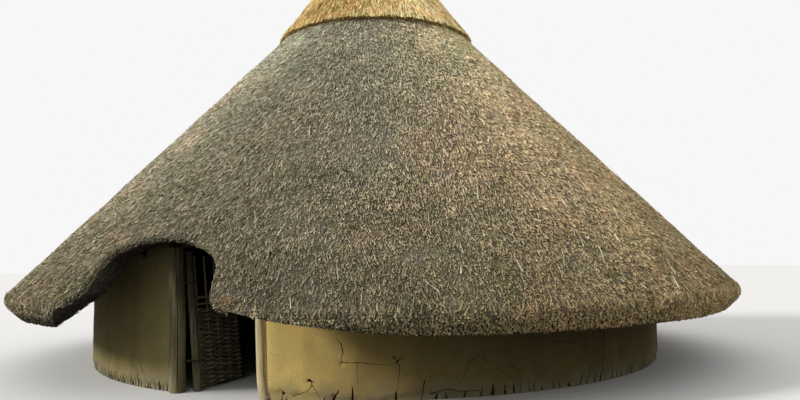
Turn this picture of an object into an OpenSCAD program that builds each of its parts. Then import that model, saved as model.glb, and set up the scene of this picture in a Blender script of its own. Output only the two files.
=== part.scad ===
// Round house: a ring wall of wattle and daub, a conical reed thatch whose eave is cut
// into an arch over the doorway, a straw cap, and a woven hurdle for a door.
// The origin is the centre of the wall circle at ground level, +Z is up, and the doorway faces -Y.
// Angles round the house start at the doorway and grow towards +X. Lengths are in millimetres.

/* [Wall] */
// Outer radius of the daub wall
wall_r = 4400; // [4200:10:4700]
// Thickness of the daub wall
wall_t = 240; // [220:5:280]
// Height of the daub wall
wall_h = 1500; // [1450:5:1560]
// Thickness of the pole ring on the wall head
plate_d = 120; // [100:5:140]
// How far the daub in front of the pole ring stops below the tops of the rafters
daub_down = 12; // [8:1:25]

/* [Doorway] */
// Left post, from the doorway's middle line at the ground
left_post_x = 566; // [540:1:600]
// Right post, from the doorway's middle line at the ground
right_post_x = 598; // [560:1:640]
// Thickness of the left post
left_post_d = 180; // [160:5:200]
// Thickness of the right post
right_post_d = 130; // [110:5:150]
// Lean of the left post to the left, in degrees
left_post_lean = 1.6; // [0:0.1:2]
// Lean of the right post to the left, in degrees
right_post_lean = 2; // [0:0.1:3]
// How far the door posts rise above the wall
post_rise = 160; // [140:5:190]
// How far the posts stand out from the middle of the wall
post_out = 35; // [0:5:50]
// Thickness of the lintel
lintel_d = 100; // [80:5:110]
// How far the lintel reaches past the posts' middles
lintel_past = 110; // [80:5:140]
// How far the daub stays behind the posts' middles
daub_back = 45; // [20:5:60]

/* [Roof] */
// Pitch of the roof, in degrees
roof_pitch = 45.7; // [45:0.1:46.5]
// Radius of the roof at the eave
eave_r = 5500; // [5350:10:5650]
// Thickness of the thatch, square to the slope
thatch_t = 300; // [270:5:330]
// Rounding of the eave's upper edge
eave_round = 110; // [60:5:140]
// Length of the top coat of thatch, down the slope from the apex
top_coat = 2240; // [2100:10:2260]
// Radius where the thatch is cut level under the straw cap
thatch_top_r = 363; // [300:5:390]
// Thickness of the rafter poles
rafter_d = 110; // [90:5:130]
// Where the short rafters start, down the slope from the apex
short_head = 1150; // [1150:10:1400]
// How far the rafter tails stop short of the eave
tail_back = 440; // [420:10:600]
// Rafter tail past the wall head, beside the doorway
door_tail = 110; // [90:5:150]
// Thickness of the hazel hoops
hoop_d = 36; // [30:1:40]
// Distance between hoops down the slope
hoop_pitch = 475; // [460:5:490]
// Where the first hoop lies, down the slope from the apex
hoop_first = 760; // [700:5:780]
// Least distance of the last hoop from the eave
hoop_last = 500; // [480:5:650]

/* [Arch over the doorway] */
// Place of the crown, to the left of the doorway's middle line
arch_x = 378; // [340:1:420]
// Height of the crown
arch_h = 1770; // [1740:1:1790]
// Radius of the flat crown
crown_r = 1750; // [1650:10:1850]
// Radius of the left shoulder
left_shoulder_r = 190; // [160:5:220]
// Radius of the right shoulder
right_shoulder_r = 466; // [430:2:500]
// Turn from the crown's middle to the left shoulder, in degrees
left_turn = 22.5; // [20:0.5:24]
// Turn from the crown's middle to the right shoulder, in degrees
right_turn = 24.9; // [23:0.1:27]
// Rounding of the thatch's lower corner, left of the doorway
left_foot_r = 300; // [250:10:340]
// Lowest point of the thatch's rounded foot, right of the doorway's middle line
arch_foot_x = 892; // [860:1:920]
// Height of that foot
arch_foot_z = 1050; // [1030:5:1070]
// How far right of the foot the eave comes down to its own height
eave_run = 2400; // [2100:10:2600]

/* [Straw cap] */
// Radius at which the cap's lower edge lies on the thatch
cap_r = 1530; // [1480:10:1580]
// Thickness of the cap at its lower edge
cap_t = 80; // [60:5:110]
// Pitch of the cap's skirt, in degrees
cap_pitch = 54; // [53:0.5:55]
// Radius at which the skirt turns into the crown
cap_shoulder = 1050; // [1000:10:1100]
// Radius of the crown's curve
cap_crown_r = 1700; // [1600:10:1800]

/* [Door] */
// Thickness of the door's hanging pole
stile_d = 95; // [85:1:100]
// Foot of the pole, to the right of the middle of the left post
stile_off = 181; // [170:1:196]
// Foot of the pole, inwards from the middle of the left post
stile_in = 135; // [130:1:150]
// Lean of the pole, and so of the door's axis, to the left, in degrees
stile_lean = 5.5; // [4:0.1:5.5]
// How far the pole stops below the tops of the posts
stile_down = 40; // [30:5:60]
// Gap between the foot of the closed leaf and the right post
leaf_gap = 88; // [70:1:130]
// Height of the woven part
weave_h = 950; // [860:10:980]
// How far the long stakes stop below the tops of the posts
stake_down = 100; // [90:5:160]
// Thickness of the stakes
stake_d = 28; // [24:1:30]
// Gap between the hanging pole and the first stake
stake_gap = 25; // [20:1:40]
// Thickness of the woven rods
rod_d = 25; // [22:1:26]
// Thickness of the rails
rail_d = 26; // [22:1:30]
// Height of the upper rail above the woven part
rail_up = 125; // [110:5:200]
// Gap under the door
door_gap = 35; // [33:1:45]
// Thickness of the withy ties
withy_d = 18; // [14:1:20]
// Height of the lower tie
lower_tie_z = 350; // [250:10:450]
// Height of the upper tie
upper_tie_z = 1250; // [1150:10:1350]

/* [Hidden] */

// Gap between pieces that bear on each other, between the turning pole and its ties,
// and between the ties and the woven rods that swing past them
seat = 0.3;
turn_gap = 1.2;
swing_gap = 6;
// Larger than the house
big = 12000;
daub = "#c9b07a";
thatch = "#8a7f6d";
straw = "#cda65c";
grey_wood = "#8d8270";
pale_wood = "#b5a68a";
dark_wood = "#4f4436";
pole_wood = "#6f6048";

wall_count = 8;
long_count = 8;
bay_angle = 360 / long_count;
short_angle = bay_angle / 3;
upper_hoop_count = 8;
coat_count = 4;
// How far the cut hoops stay back from the arch
hoop_back = 60;
// The arch's two ends run out a little below the eave
run_out = 5;
// The lintel lies a little inwards of the posts' middles, clear of the turning pole
lintel_in = 40;
// Height of the pole's foot
pole_foot = 12;

// Depths of the roof's layers, square to the slope from the thatch's outer face
hoop_n = thatch_t + seat + hoop_d / 2;
rafter_n = thatch_t + hoop_d + 2 * seat + rafter_d / 2;
plate_n = rafter_n + rafter_d / 2 + seat + plate_d / 2;
daub_n = rafter_n - rafter_d / 2 + daub_down;

// The roof's height follows from the pole ring on the wall head, which carries the rafters
plate_r = wall_r - wall_t / 2;
lip_r = plate_r + plate_d / 2 + seat;
plate_z = wall_h + seat + plate_d / 2;
apex_z = plate_z + plate_r * tan(roof_pitch) + plate_n / cos(roof_pitch);
// The eave's rounding is what reaches out to its radius
eave_u = (eave_r - eave_round * (1 - sin(roof_pitch))) / cos(roof_pitch) + eave_round;
coat = (eave_u - top_coat) / coat_count;
hoop_count = 1 + floor((eave_u - hoop_last - hoop_first) / hoop_pitch);

// A place in the section through the roof, from its length down the slope and its depth
function on_slope(u, n) = [
    u * cos(roof_pitch) - n * sin(roof_pitch),
    apex_z - u * sin(roof_pitch) - n * cos(roof_pitch)
];
function down_slope(r, z) = r * cos(roof_pitch) + (apex_z - z) * sin(roof_pitch);
function slope_z(r, n) = apex_z - r * tan(roof_pitch) - n / cos(roof_pitch);
plate_u = down_slope(plate_r, plate_z);

post_h = wall_h + post_rise;
post_y = -plate_r - post_out;
lintel_y = post_y + lintel_in;
lintel_z = post_h + seat + lintel_d / 2;
lintel_foot = down_slope(-lintel_y, lintel_z) - lintel_d / 2 - seat;
stile_x = left_post_x - stile_off;
stile_y = post_y + stile_in;

// The wall runs from the right post round the back to the left post
wall_from = atan(right_post_x / -post_y);
wall_to = 360 - atan(left_post_x / -post_y);
wall_step = (wall_to - wall_from) / wall_count;

module turned(a) rotate([0, 0, a]) children();

// A frame that stands on the ground and leans to the left
module leaning(x, y, lean) translate([x, y, 0]) rotate([0, -lean, 0]) children();

module pole(d, from, to) translate([0, 0, from]) cylinder(h = to - from, d = d, $fn = 48);

// Posts, lintel and wall

module left_post_space(extra) leaning(-left_post_x, post_y, left_post_lean)
    pole(left_post_d + 2 * extra, -100, post_h + 60 * extra);

module right_post_space(extra) leaning(right_post_x, post_y, right_post_lean)
    pole(right_post_d + 2 * extra, -100, post_h + 60 * extra);

// Post tops are cut level, so that the lintel lies on them
module post_top_cut() translate([-big / 2, -big, post_h]) cube([big, big, big / 2]);

module ground_cut() translate([-big / 2, -big, -big / 2]) cube([big, big, big / 2]);

module left_door_post() color(grey_wood) difference() {
    leaning(-left_post_x, post_y, left_post_lean) pole(left_post_d, -50, post_h + 50);
    post_top_cut();
    ground_cut();
}

module right_door_post() color(pale_wood) difference() {
    leaning(right_post_x, post_y, right_post_lean) pole(right_post_d, -50, post_h + 50);
    post_top_cut();
    ground_cut();
}

module lintel(extra) {
    left_end = -left_post_x - post_h * tan(left_post_lean) - lintel_past - extra;
    right_end = right_post_x - post_h * tan(right_post_lean) + lintel_past + extra;
    translate([left_end, lintel_y, lintel_z]) rotate([0, 90, 0])
        cylinder(h = right_end - left_end, d = lintel_d + 2 * extra, $fn = 48);
}

module door_lintel() color(grey_wood) lintel(0);

// Everything between the ends of the daub, cut parallel to the leaning posts
module doorway_gap() {
    leaning(-left_post_x, post_y, left_post_lean)
        translate([-daub_back, -big / 12, -big / 2]) cube([left_post_x, big / 6, big]);
    leaning(right_post_x, post_y, right_post_lean)
        translate([-right_post_x, -big / 12, -big / 2])
            cube([right_post_x + daub_back / 2, big / 6, big]);
}

// The daub carries the pole ring, and rises in front of it between the rafters
module wall_section() polygon([
    [wall_r - wall_t, 0],
    [wall_r, 0],
    [wall_r, slope_z(wall_r, daub_n)],
    [lip_r, slope_z(lip_r, daub_n)],
    [lip_r, wall_h],
    [wall_r - wall_t, wall_h]
]);

// Each length of the ring stops a hair short of the next
module ring_length(i) turned(wall_from - 90 + i * wall_step)
    rotate_extrude(angle = wall_step - (i < wall_count - 1 ? asin(seat / plate_r) : 0), $fn = 360)
        wall_section();

// Slots in the raised daub, one for each rafter between two angles
module rafter_slots(from, to) {
    width = rafter_d + 2 * seat;
    floor_z = slope_z(wall_r, rafter_n + rafter_d / 2) - seat;
    for (k = [floor(from / short_angle) : ceil(to / short_angle)])
        turned(k * short_angle) translate([-width / 2, -wall_r - plate_d, floor_z])
            cube([width, wall_r - lip_r + plate_d * 1.2, 2 * rafter_d]);
}

module wall_length(i) color(daub) difference() {
    ring_length(i);
    rafter_slots(wall_from + i * wall_step, wall_from + (i + 1) * wall_step);
    if (i == 0 || i == wall_count - 1) {
        doorway_gap();
        left_post_space(seat);
        right_post_space(seat);
        lintel(seat);
    }
}

module wall_plate() color(grey_wood) difference() {
    turned(wall_from - 90) rotate_extrude(angle = wall_to - wall_from, $fn = 360)
        translate([plate_r, plate_z]) circle(d = plate_d, $fn = 32);
    doorway_gap();
    left_post_space(seat);
    right_post_space(seat);
}

// Rafters and hoops

module rafter(head, foot) translate([0, -on_slope(head, rafter_n)[0], on_slope(head, rafter_n)[1]])
    rotate([90 + roof_pitch, 0, 0]) cylinder(h = foot - head, d = rafter_d, $fn = 48);

// The long rafters are mitred against each other at the apex
module mitre_wedge() {
    half = bay_angle / 2;
    translate([0, -seat / 2 / sin(half), 0]) linear_extrude(height = big)
        polygon([[0, 0], [-big * tan(half), -big], [big * tan(half), -big]]);
}

function foot_at(a) = a == 0 ? lintel_foot
    : a <= short_angle || a >= 360 - short_angle ? plate_u + door_tail
    : eave_u - tail_back;

module long_rafters() {
    head = rafter_n * tan(roof_pitch) - rafter_d * 1.4;
    color(grey_wood) difference() {
        for (i = [0 : long_count - 1])
            turned(i * bay_angle) intersection() {
                rafter(head, foot_at(i * bay_angle));
                mitre_wedge();
            }
        cylinder(h = big, r = 25, $fn = 32);
    }
}

module short_rafters(first) color(grey_wood)
    for (i = [first : first + long_count / 2 - 1], j = [1, 2]) {
        a = i * bay_angle + j * short_angle;
        turned(a) rafter(short_head, foot_at(a));
    }

// A hoop below the arch's crown stops in the thatch on both sides of it
module hoop(i) {
    place = on_slope(hoop_first + i * hoop_pitch, hoop_n);
    open = place[1] < arch_h + hoop_d;
    right_end = place[1] < foot_c[1] ? arch_foot_x : arch_right;
    from = open ? asin((right_end + hoop_back) / place[0]) : 0;
    to = open ? 360 - asin((hoop_back - arch_left) / place[0]) : 360;
    turned(from - 90) rotate_extrude(angle = to - from, $fn = 360)
        translate(place) circle(d = hoop_d, $fn = 24);
}

module upper_hoops() color(pole_wood) for (i = [0 : upper_hoop_count - 1]) hoop(i);

module lower_hoops() color(pole_wood) for (i = [upper_hoop_count : hoop_count - 1]) hoop(i);

// Thatch

module along_slope() translate([0, apex_z]) rotate(-roof_pitch) children();

module coat_section(from, to) intersection() {
    along_slope() translate([from, -thatch_t]) square([to - from, thatch_t]);
    square([big, big]);
}

function coat_from(i) = eave_u - coat * i;

module coat_ring(i) color(thatch) rotate_extrude($fn = 144)
    coat_section(coat_from(i), coat_from(i - 1) - seat);

// The eave ends square to the slope, with its upper edge rounded
module eave_section() along_slope() polygon(concat(
    [[coat_from(1), -thatch_t], [coat_from(1), 0]],
    arc([eave_u - eave_round, -eave_round], eave_round, 0, 90, 6),
    [[eave_u, -thatch_t]]
));

// Outline of the arch, looking at the doorway from outside. Each arc runs on into the next.
crown_c = [-arch_x, arch_h - crown_r];
left_c = crown_c + (crown_r - left_shoulder_r) * [-sin(left_turn), cos(left_turn)];
right_c = crown_c + (crown_r - right_shoulder_r) * [sin(right_turn), cos(right_turn)];
foot_dx = arch_foot_x - right_c[0];
foot_dz = right_c[1] - arch_foot_z;
arch_foot_r = (foot_dx * foot_dx + foot_dz * foot_dz - right_shoulder_r * right_shoulder_r)
    / 2 / (right_shoulder_r + foot_dz);
foot_c = [arch_foot_x, arch_foot_z + arch_foot_r];
foot_turn = atan2(foot_dx, foot_c[1] - right_c[1]);
arch_left = left_c[0] - left_shoulder_r;
arch_right = right_c[0] + right_shoulder_r;
arch_end_z = on_slope(eave_u, thatch_t)[1] - run_out;
left_foot_c = [arch_left - left_foot_r, arch_end_z + left_foot_r];
run_drop = arch_foot_z - arch_end_z;
run_r = (eave_run * eave_run + run_drop * run_drop) / 2 / run_drop;
run_c = [arch_foot_x + eave_run, arch_end_z + run_r];
run_turn = asin(eave_run / run_r);

function arc(c, r, from, to, steps) = [
    for (i = [0 : steps]) let (a = from + (to - from) * i / steps) c + r * [sin(a), cos(a)]
];

module arch_outline() polygon(concat(
    [[left_foot_c[0], 0]],
    arc(left_foot_c, left_foot_r, 180, 90, 5),
    arc(left_c, left_shoulder_r, -90, -left_turn, 4),
    arc(crown_c, crown_r, -left_turn + 6, right_turn - 6, 6),
    arc(right_c, right_shoulder_r, right_turn, foot_turn, 5),
    arc(foot_c, arch_foot_r, foot_turn - 162, -180, 4),
    arc(run_c, run_r, run_turn * 5 / 6 - 180, -180, 5),
    [[run_c[0], 0]]
));

module arch_tunnel() translate([0, -plate_r * 0.9, 0]) rotate([90, 0, 0])
    linear_extrude(height = big / 4) arch_outline();

module thatch_eave() color(thatch) difference() {
    rotate_extrude($fn = 360) eave_section();
    arch_tunnel();
}

module thatch_top() color(thatch) rotate_extrude($fn = 144) intersection() {
    coat_section(0, top_coat - seat);
    translate([0, -big]) square([big, big + apex_z - thatch_top_r * tan(roof_pitch)]);
}

// Straw cap: a skirt steeper than the roof under a rounded crown, hollow over the thatch

module straw_cap() {
    edge_u = cap_r / cos(roof_pitch);
    lip = on_slope(edge_u, -cap_t);
    shoulder = [cap_shoulder, lip[1] + (lip[0] - cap_shoulder) * tan(cap_pitch)];
    crown_c = shoulder - cap_crown_r * [sin(cap_pitch), cos(cap_pitch)];
    top_turn = asin(-crown_c[0] / cap_crown_r);
    level_z = apex_z - thatch_top_r * tan(roof_pitch) + seat;
    color(straw) rotate_extrude($fn = 96) polygon(concat(
        [[0, level_z], [thatch_top_r, level_z], on_slope(edge_u, -seat), lip],
        arc(crown_c, cap_crown_r, cap_pitch, top_turn, 7)
    ));
}

// Door

module in_door() leaning(-stile_x, stile_y, stile_lean) children();

stile_h = post_h - stile_down;
leaf_w = stile_x + right_post_x - right_post_d / 2 - leaf_gap;
stake_count = 5;
first_stake = stile_d / 2 + stake_gap + stake_d / 2;
stake_pitch = (leaf_w - stake_d / 2 - first_stake) / (stake_count - 1);
rod_pitch = rod_d + 1;
rod_count = floor((weave_h - door_gap) / rod_pitch);
weave_top = door_gap + rod_count * rod_pitch;
rail_z = weave_top + rail_up;

module door_pole() color(grey_wood) in_door() pole(stile_d, pole_foot, stile_h);

module door_stakes() color(dark_wood) in_door()
    for (i = [0 : stake_count - 1])
        translate([0, first_stake + i * stake_pitch, 0]) pole(stake_d, door_gap, post_h - stake_down);

// The rails are coped to the pole
module door_rails() color(dark_wood) in_door() difference() {
    for (z = [rail_z, rail_z - 3 * rail_d])
        translate([stake_d / 2 + rail_d / 2 + seat, 0, z]) rotate([-90, 0, 0])
            cylinder(h = leaf_w, d = rail_d, $fn = 32);
    pole(stile_d + 2 * seat, 0, stile_h);
}

// A rod runs before and behind the stakes in turn, and the next one the other way.
// Its bends lie at the stakes and between them, and it swings out a little more for its slant.
weave_swing = stake_d / 2 + rod_d / 2 + 2 * seat;
steps_per_bay = 4;
step = stake_pitch / steps_per_bay;
rod_sides = 6;

function rod_z(i) = door_gap + (i + 0.5) * rod_pitch;

// Rods beside a tie stop short of it, the others meet the pole
function rod_from(z) = min(abs(z - lower_tie_z), abs(z - upper_tie_z)) < withy_d / 2 + 2 * rod_d
    ? stile_d / 2 + turn_gap + withy_d + swing_gap
    : stile_d / 2 + 2 * seat;

function bends(from) = [
    for (k = [-steps_per_bay : (stake_count - 1) * steps_per_bay])
        let (y = first_stake + k * step)
            if (y > from + 1) y
];

function rod_path(side, from) = [
    for (y = concat([from], bends(from), [leaf_w]))
        [side * weave_swing * cos(180 * (y - first_stake) / stake_pitch), y]
];

module rod(side, from) {
    path = rod_path(side, from);
    n = len(path);
    points = [
        for (p = path, s = [0 : rod_sides - 1])
            [
                p[0] + rod_d / 2 * cos(360 * s / rod_sides),
                p[1],
                rod_d / 2 * sin(360 * s / rod_sides)
            ]
    ];
    sides = [
        for (k = [0 : n - 2], s = [0 : rod_sides - 1])
            let (t = (s + 1) % rod_sides)
                [k * rod_sides + s, k * rod_sides + t, (k + 1) * rod_sides + t, (k + 1) * rod_sides + s]
    ];
    first_end = [[for (s = [rod_sides - 1 : -1 : 0]) s]];
    last_end = [[for (s = [0 : rod_sides - 1]) (n - 1) * rod_sides + s]];
    polyhedron(points, concat(sides, first_end, last_end));
}

module door_weave() color(dark_wood) in_door()
    for (i = [0 : rod_count - 1])
        translate([0, 0, rod_z(i)]) rod(i % 2 == 0 ? 1 : -1, rod_from(rod_z(i)));

// A withy bent round the pole, with both ends pegged into the left post
module withy_tie(z) {
    post = [-left_post_x - z * tan(left_post_lean), post_y];
    stile = [-stile_x - z * tan(stile_lean), stile_y];
    gap = post - stile;
    bend_r = stile_d / 2 + turn_gap + withy_d / 2;
    color(pole_wood) difference() {
        translate([stile[0], stile[1], z]) turned(atan2(gap[1], gap[0])) union() {
            turned(90) rotate_extrude(angle = 180, $fn = 64) translate([bend_r, 0])
                circle(d = withy_d, $fn = 24);
            for (side = [-1, 1])
                translate([0, side * bend_r, 0]) rotate([0, 90, 0])
                    cylinder(h = norm(gap), d = withy_d, $fn = 24);
        }
        left_post_space(seat);
    }
}

wall_length(0);  // wall_right_of_door
wall_length(1);  // wall_right_front
wall_length(2);  // wall_right_back
wall_length(3);  // wall_back_right
wall_length(4);  // wall_back_left
wall_length(5);  // wall_left_back
wall_length(6);  // wall_left_front
wall_length(7);  // wall_left_of_door
left_door_post();
right_door_post();
door_lintel();
wall_plate();
long_rafters();
short_rafters(0);  // short_rafters_right
short_rafters(long_count / 2);  // short_rafters_left
upper_hoops();
lower_hoops();
thatch_top();
coat_ring(4);  // thatch_upper
coat_ring(3);  // thatch_middle
coat_ring(2);  // thatch_lower
thatch_eave();
straw_cap();
withy_tie(lower_tie_z);  // lower_withy_tie
withy_tie(upper_tie_z);  // upper_withy_tie
door_pole();
door_stakes();
door_rails();
door_weave();
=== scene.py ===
"""Looks of a thatched round house: reeds, straw cap, cracked daub, weathered posts, hurdle door."""

import math
import random

import bmesh
import bpy
import numpy as np
from mathutils import Matrix, Vector, geometry, noise


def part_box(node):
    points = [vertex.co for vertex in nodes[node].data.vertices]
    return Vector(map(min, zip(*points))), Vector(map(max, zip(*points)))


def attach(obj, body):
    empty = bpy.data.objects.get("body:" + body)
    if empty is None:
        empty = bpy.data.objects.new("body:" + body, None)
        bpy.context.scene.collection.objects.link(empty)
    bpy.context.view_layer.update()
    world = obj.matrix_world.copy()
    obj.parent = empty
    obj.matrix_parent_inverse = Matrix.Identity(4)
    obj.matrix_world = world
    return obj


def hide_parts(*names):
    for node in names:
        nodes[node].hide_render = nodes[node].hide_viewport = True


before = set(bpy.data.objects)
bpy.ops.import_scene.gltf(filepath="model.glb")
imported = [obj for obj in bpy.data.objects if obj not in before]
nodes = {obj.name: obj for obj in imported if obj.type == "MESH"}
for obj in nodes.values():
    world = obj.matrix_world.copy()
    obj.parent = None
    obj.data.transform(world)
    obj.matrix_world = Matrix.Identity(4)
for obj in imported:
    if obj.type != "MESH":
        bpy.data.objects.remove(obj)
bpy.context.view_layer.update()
scene = bpy.context.scene


def places_in(node):
    """Places of a CAD node's vertices."""
    return [v.co for v in nodes[node].data.vertices]


def from_axis(place):
    """How far a place is from the house's upright axis."""
    return math.hypot(place.x, place.y)


# Measures read off the CAD, in metres: within CLOSE is the same level, within SAME_POINT one point
CLOSE = 0.004
SAME_POINT = 1e-5

# Camera of the photograph: place in metres, turns in degrees
CAMERA_PLACE = (5.0395, -10.957, 1.586)
CAMERA_HEADING = 22.88
CAMERA_RISE = 4.13
CAMERA_ROLL = -0.65
CAMERA_LENS = 31.95

# Light: strengths of the soft light from above, of the white backdrop and of the key lamp
SOFT_LIGHT = 0.82
BACKDROP_WHITE = 0.93
KEY_STRENGTH = 2.3
KEY_WIDTH = math.radians(12)
TO_KEY = Vector((-0.656, -0.591, 0.469))
FLOOR_SEEN = (0.80, 0.79, 0.77)
FLOOR_BOUNCE = (0.13, 0.125, 0.115)
FLOOR_RADIUS = 60

# Roof: its slope, its thatch and eave, and the side of the house that the arch is cut through
PITCH = math.radians(45.7)
DOWN_SLOPE = math.cos(PITCH)
FALL = math.sin(PITCH)
APEX = max(p.z + from_axis(p) * math.tan(PITCH) for p in places_in("thatch_middle"))
THATCH_DEPTH = 0.3
EAVE_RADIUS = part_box("thatch_eave")[1].x
EAVE_REACH = 0.5
DOOR_SIDE = -3.6
ARCH_FRINGE = 0.06

# Straw cap: its skirt's slope, how far its hem hangs past the skirt, and the hem's steps round
CAP_SKIRT = math.radians(54)
CAP_HEM = 0.075
HEM_STEPS = 120

# The foot of the arch left of the doorway is worn off along a plane: a point of it, its way out,
# and the space around it as its left, right, back and top
WORN_CORNER = Vector((-1.165, -5.226, 1.167))
WORN_AWAY = Vector((0.63, 0.02, -0.78)).normalized()
WORN_AROUND = (-3, -1, -3.9, 1.6)

# Tufts of orange straw caught in the thatch: name, middle, reach and seed
TUFTS = (
    ("straw_tuft", Vector((0.89, -5.37, 1.1)), 0.045, 25),
    ("straw_wisp", Vector((-1.34, -5.26, 1.11)), 0.03, 26),
)

# Daub wall: its outer face, the ledge that carries the pole ring, and the lip in front of it
WALL_PLACES = [(from_axis(p), p.z) for p in places_in("wall_back_right")]
WALL_RADIUS = max(r for r, z in WALL_PLACES)
WALL_INNER_RADIUS = min(r for r, z in WALL_PLACES)
WALL_HEIGHT = max(z for r, z in WALL_PLACES if r > WALL_RADIUS - CLOSE)
LEDGE_HEIGHT = max(z for r, z in WALL_PLACES if r < WALL_INNER_RADIUS + CLOSE)
LEDGE_MARGIN = 0.03
LEDGE_ROW = LEDGE_HEIGHT + LEDGE_MARGIN
LIP_HEIGHT = max(z for r, z in WALL_PLACES)
LIP_RADIUS = min(r for r, z in WALL_PLACES if z > LIP_HEIGHT - CLOSE)
# Where the daub ends behind the posts' middle lines, and how far along the wall that bends it
DAUB_BEHIND_LEFT_POST = -0.045
DAUB_BEHIND_RIGHT_POST = 0.088
DAUB_BEND = 0.5
# Swells of the daub's faces: how far, and how often; and the depth at which a crack's painted shade
# is darkest
OUTER_SWELLS = ((0.012, 1.1), (0.005, 4.5))
INNER_SWELLS = ((0.01, 1.3),)
CRACK_DEPTH = 0.014
# The worn foot of the wall: its height, how much that wavers, how far it is worn back, and the
# height over which that fades out
TOE_HEIGHT = 0.10
TOE_WAVES = (0.13, 0.03)
TOE_DEPTH = 0.02
TOE_EDGE = 0.05

# Rows and columns of the wall's mesh, finer below FINE_BELOW
FINE_BELOW = 0.26
FINE_ROW, FINE_COLUMN = 0.035, 0.045
PLAIN_ROW, PLAIN_COLUMN = 0.08, 0.085

# Doorway and door: steps along posts and stakes, how the posts bend, a woven rod's radius
POST_STEP = 0.05
STAKE_STEP = 0.04
LEFT_POST_BOW = 0.012
RIGHT_POST_KICK = 0.03
ROD_RADIUS = 0.0125

# Edges sharper than this many degrees stay crisp
DAUB_CREASE = 50
POLE_CREASE = 40


# Node trees


def add(tree, kind, inputs=None, **settings):
    """A node with its settings and its inputs, each a value or the socket that feeds it."""
    made = tree.nodes.new(kind)
    for name, value in settings.items():
        setattr(made, name, value)
    for key, value in (inputs or {}).items():
        if isinstance(value, bpy.types.NodeSocket):
            tree.links.new(value, made.inputs[key])
        else:
            made.inputs[key].default_value = value
    return made


def maths(tree, operation, *values):
    """A sum on two or three numbers."""
    return add(tree, "ShaderNodeMath", dict(enumerate(values)), operation=operation).outputs[0]


def vector_maths(tree, operation, *vectors, output="Vector"):
    """A sum on two vectors."""
    made = add(tree, "ShaderNodeVectorMath", dict(enumerate(vectors)), operation=operation)
    return made.outputs[output]


def scaled(tree, vector, scale):
    inputs = {0: vector, "Scale": scale}
    return add(tree, "ShaderNodeVectorMath", inputs, operation="SCALE").outputs["Vector"]


def noise_of(tree, place, scale, detail=2.0):
    """A noise's outputs: Fac, and Color for three noises at once."""
    inputs = {"Vector": place, "Scale": scale, "Detail": detail}
    return add(tree, "ShaderNodeTexNoise", inputs).outputs


def height_of(tree, place):
    return add(tree, "ShaderNodeSeparateXYZ", {0: place}).outputs["Z"]


def attribute(tree, name):
    return add(tree, "ShaderNodeAttribute", attribute_name=name).outputs["Fac"]


def ramp(tree, factor, *stops):
    """Colours or greys along a factor, each stop a place and a colour."""
    made = add(tree, "ShaderNodeValToRGB", {"Fac": factor})
    elements = made.color_ramp.elements
    while len(elements) < len(stops):
        elements.new(0.5)
    for element, (place, colour) in zip(elements, stops):
        element.position = place
        element.color = (*colour, 1) if isinstance(colour, tuple) else (colour,) * 3 + (1,)
    return made.outputs["Color"]


def mix(tree, factor, first, second, blend="MIX"):
    first, second = ((*c, 1) if isinstance(c, tuple) else c for c in (first, second))
    inputs = {0: factor, 6: first, 7: second}
    return add(tree, "ShaderNodeMix", inputs, data_type="RGBA", blend_type=blend).outputs[2]


def tinted(tree, colour, *tints):
    """A colour multiplied by each of the tints."""
    for tint in tints:
        colour = mix(tree, 1.0, colour, tint, "MULTIPLY")
    return colour


def clouds(tree, place, scale, detail=4.0, rough=0.55, upright=1.0):
    """Noise in object coordinates, drawn out along the height where upright is under 1."""
    mapped = add(tree, "ShaderNodeMapping", {"Vector": place, "Scale": (1, 1, upright)}).outputs[0]
    inputs = {"Vector": mapped, "Scale": scale, "Detail": detail, "Roughness": rough}
    return add(tree, "ShaderNodeTexNoise", inputs).outputs["Fac"]


def new_material(name, roughness, specular):
    """A material, its tree, its shader and the object coordinates."""
    material = bpy.data.materials.new(name)
    material.use_nodes = True
    tree = material.node_tree
    shader = tree.nodes["Principled BSDF"]
    shader.inputs["Roughness"].default_value = roughness
    shader.inputs["Specular IOR Level"].default_value = specular
    return material, tree, shader, add(tree, "ShaderNodeTexCoord").outputs["Object"]


def paint(tree, shader, colour, relief=None, distance=0.0):
    """Gives the shader its colour, and its relief where there is one."""
    tree.links.new(colour, shader.inputs["Base Color"])
    if relief:
        made = add(tree, "ShaderNodeBump", {"Height": relief, "Distance": distance})
        tree.links.new(made.outputs[0], shader.inputs["Normal"])


# Tints


def turned(degrees, colour):
    """A ramp's stop at an angle from the doorway, to the right of it when seen from outside."""
    return 0.5 + degrees / 360, colour


PLAIN = ((0.0, 1.0), (1.0, 1.0))
TINTED_HEIGHT = 5.5
TINTED_WALL_HEIGHT = 2.0
CAP_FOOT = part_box("straw_cap")[0].z / TINTED_HEIGHT

REED_TINTS = (
    (0.30, (0.80, 0.84, 0.80)),
    (0.45, (0.94, 0.95, 0.90)),
    (0.58, (1.02, 0.98, 0.93)),
    (0.72, (1.11, 1.04, 0.95)),
)
REED_COLOURS = (
    (0.00, (0.145, 0.125, 0.103)),
    (0.20, (0.285, 0.262, 0.208)),
    (0.42, (0.350, 0.302, 0.268)),
    (0.62, (0.415, 0.385, 0.302)),
    (0.82, (0.485, 0.440, 0.380)),
    (1.00, (0.620, 0.575, 0.470)),
)
STRAW_COLOURS = (
    (0.00, (0.32, 0.195, 0.065)),
    (0.30, (0.58, 0.415, 0.165)),
    (0.60, (0.80, 0.625, 0.290)),
    (0.85, (0.92, 0.780, 0.450)),
    (1.00, (0.98, 0.900, 0.640)),
)
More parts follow.
